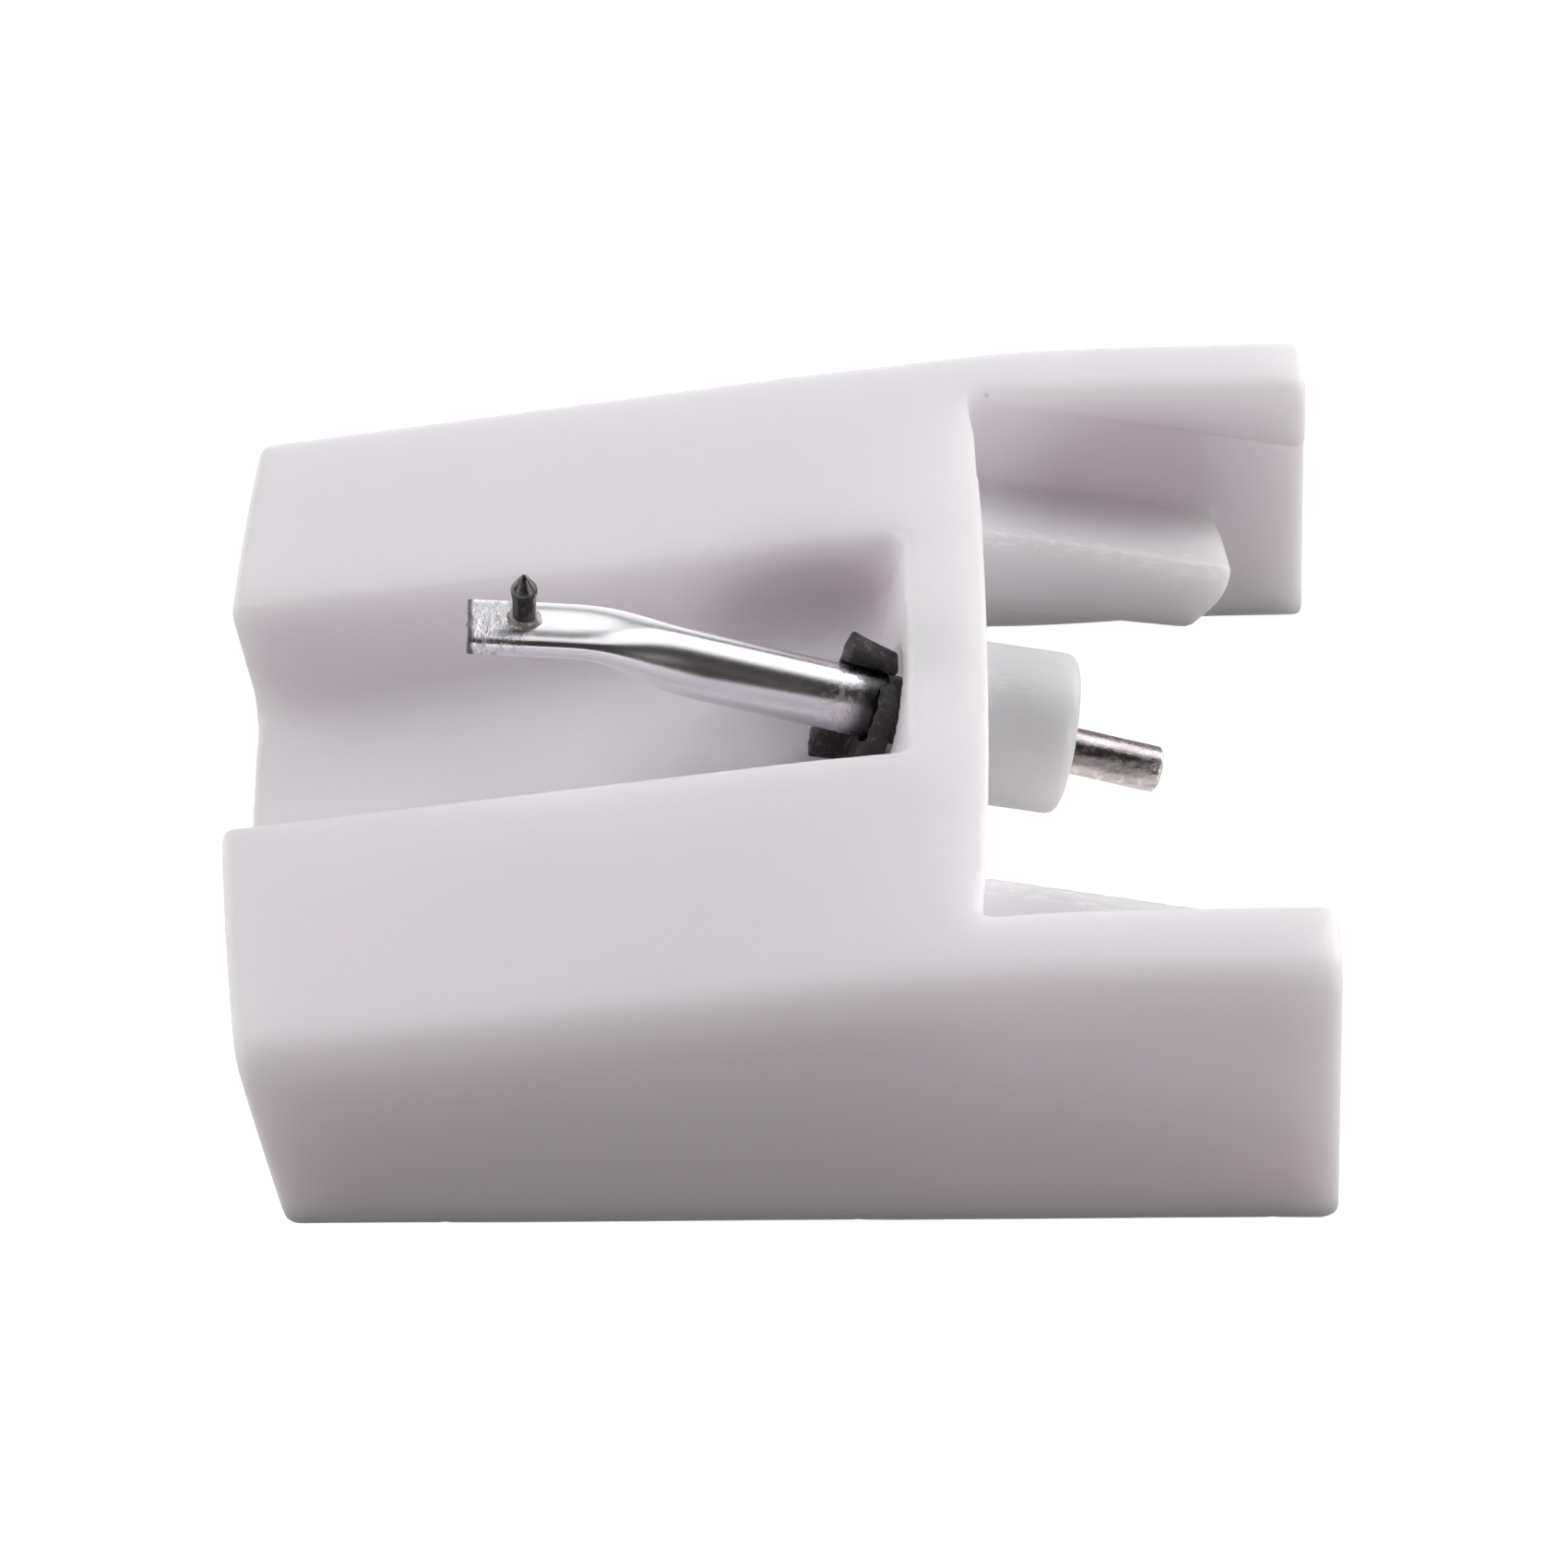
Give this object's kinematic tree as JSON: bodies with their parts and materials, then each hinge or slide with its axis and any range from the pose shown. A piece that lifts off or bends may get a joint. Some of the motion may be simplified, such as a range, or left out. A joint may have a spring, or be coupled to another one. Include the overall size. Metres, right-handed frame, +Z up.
{
  "type": "turntable stylus",
  "caption": "Plug-on stylus for a moving-magnet cartridge: wedge-shaped moulded holder with two arms and guide rails, sprung cantilever with diamond tip and magnet rod.",
  "frame": {"origin": "centre of the box around the part, on the flat face that it lies on", "axes": "+X from the nose to the arms that plug on to the cartridge, +Y across the holder, +Z up out of the side that carries the tip"},
  "size_m": [0.0124, 0.011, 0.0049],
  "materials": {
    "holder_plastic": "white moulded plastic, satin, slightly translucent",
    "damper_rubber": "dark rubber with cut edges",
    "cantilever_aluminium": "bright drawn tube, pressed flat and scuffed at the front",
    "magnet_metal": "satin grey, ground",
    "shank_metal": "dark metal, ground",
    "diamond": "dark polished stone",
    "adhesive": "grey cured adhesive"
  },
  "bodies": {
    "holder": {"holder": "holder_plastic"},
    "damper": {"damper": "damper_rubber"},
    "stylus_arm": {"cantilever": "cantilever_aluminium", "magnet_rod": "magnet_metal", "stylus_shank": "shank_metal", "diamond_tip": "diamond", "tip_bead": "adhesive"}
  },
  "joints": [
    {"name": "cantilever_tilt", "type": "hinge", "parent": "holder", "child": "damper", "pos_m": [0.0013, 0, 0.0028], "axis": [0, 1, 0], "range_deg": [-3, 3], "stiffness_Nm_per_rad": 0.0025, "deforming": ["damper"]},
    {"name": "cantilever_swing", "type": "hinge", "parent": "damper", "child": "stylus_arm", "pos_m": [0.0013, 0, 0.0028], "axis": [0.314, 0, 0.9494], "range_deg": [-3, 3], "stiffness_Nm_per_rad": 0.0025}
  ]
}
